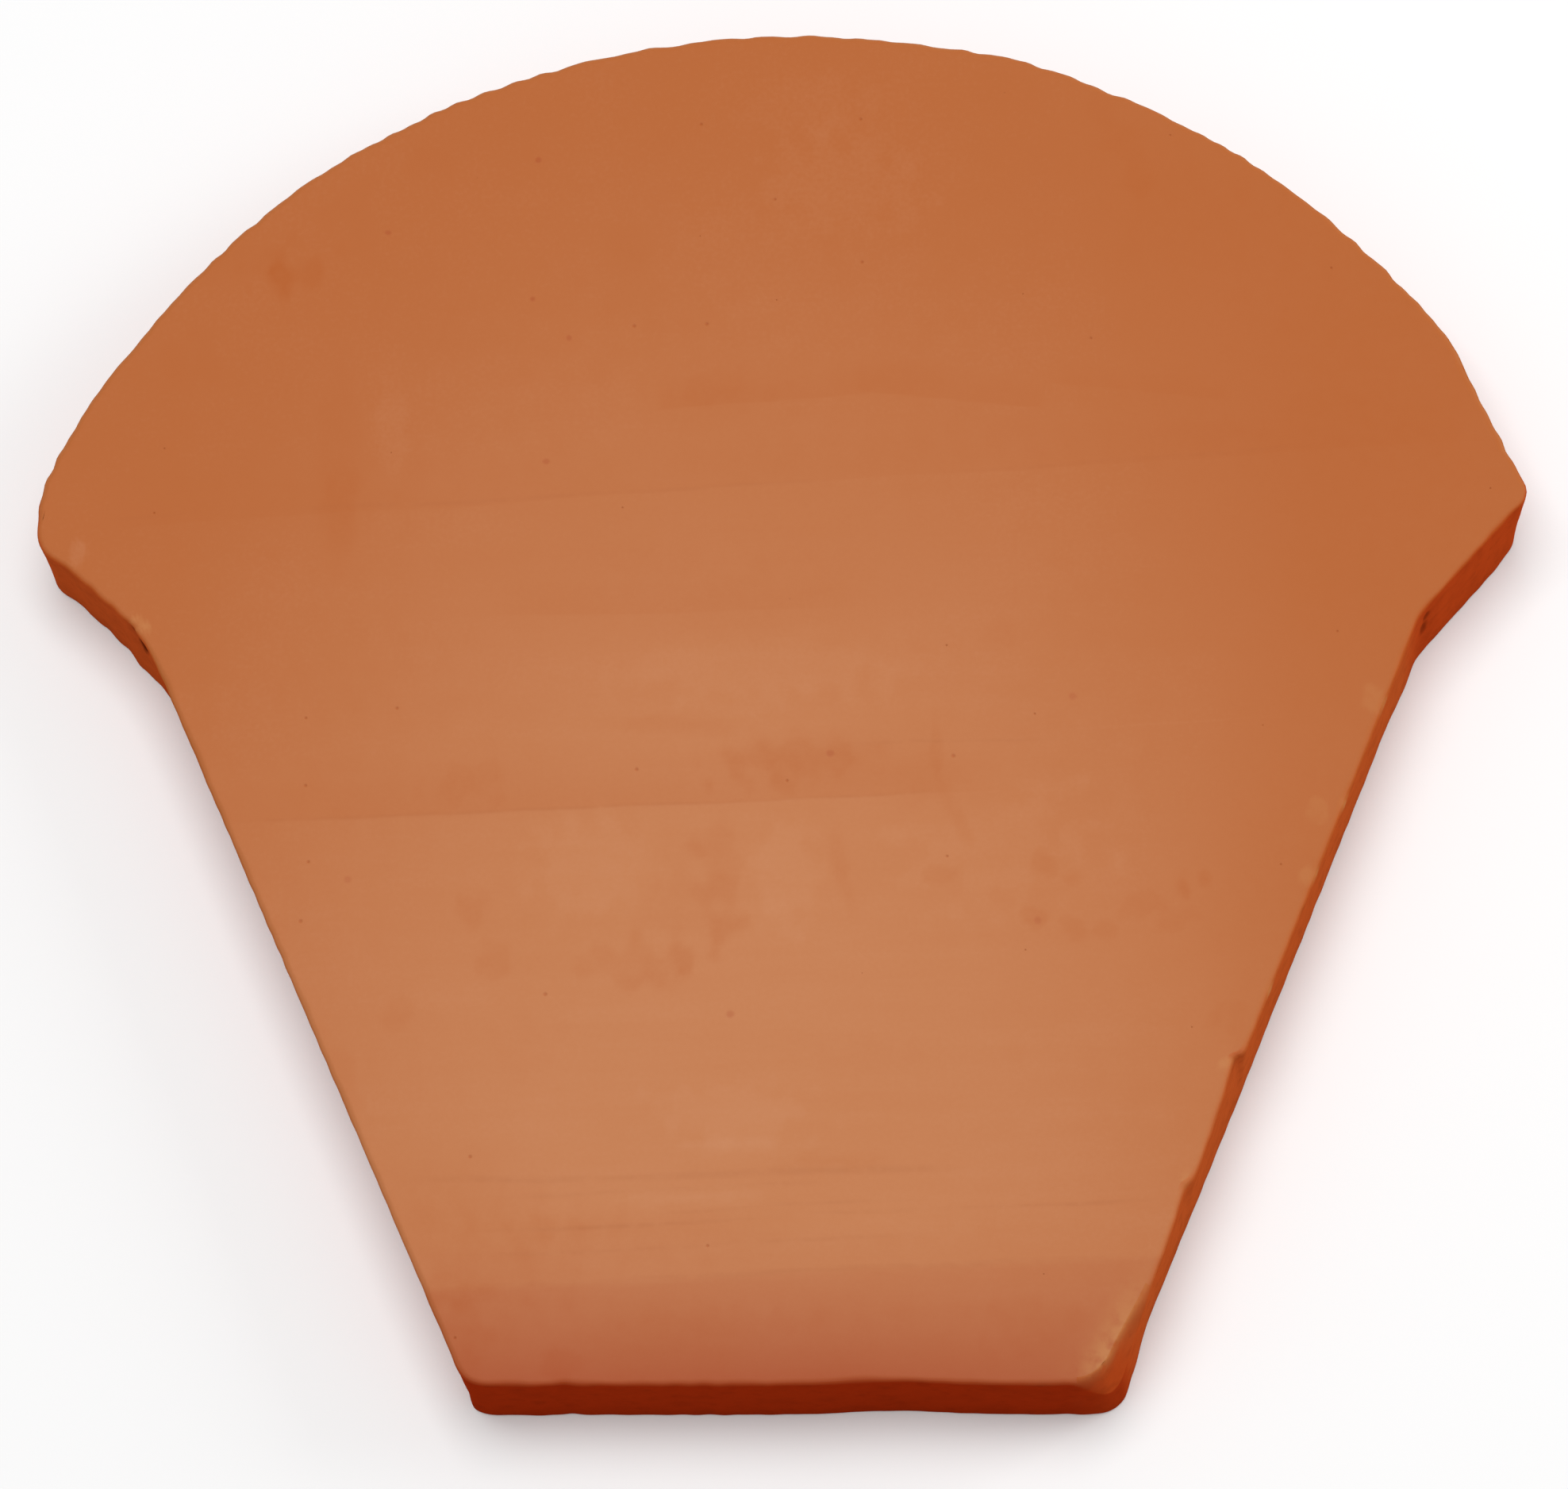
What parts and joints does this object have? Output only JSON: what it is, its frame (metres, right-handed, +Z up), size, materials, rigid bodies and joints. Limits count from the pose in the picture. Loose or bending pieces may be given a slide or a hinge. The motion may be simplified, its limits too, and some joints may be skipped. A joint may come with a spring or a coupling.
{
  "type": "flat clay roof tile",
  "caption": "Flat terracotta roof tile with a round fan end, sloping shoulders under its lobes and sides tapering to a straight narrow end.",
  "frame": {"origin": "middle of the tile's bounding box in plan, on the underside", "axes": "+X across the tile, +Y from the narrow end to the round fan end, +Z up through the thickness, out of the smooth face"},
  "size_m": [0.1802, 0.1728, 0.015],
  "materials": {
    "fired_clay": "matt fired terracotta with a smoothed face, darker cut edges and pale rubbed rims"
  },
  "bodies": {
    "root": {"roof_tile": "fired_clay"}
  },
  "joints": []
}
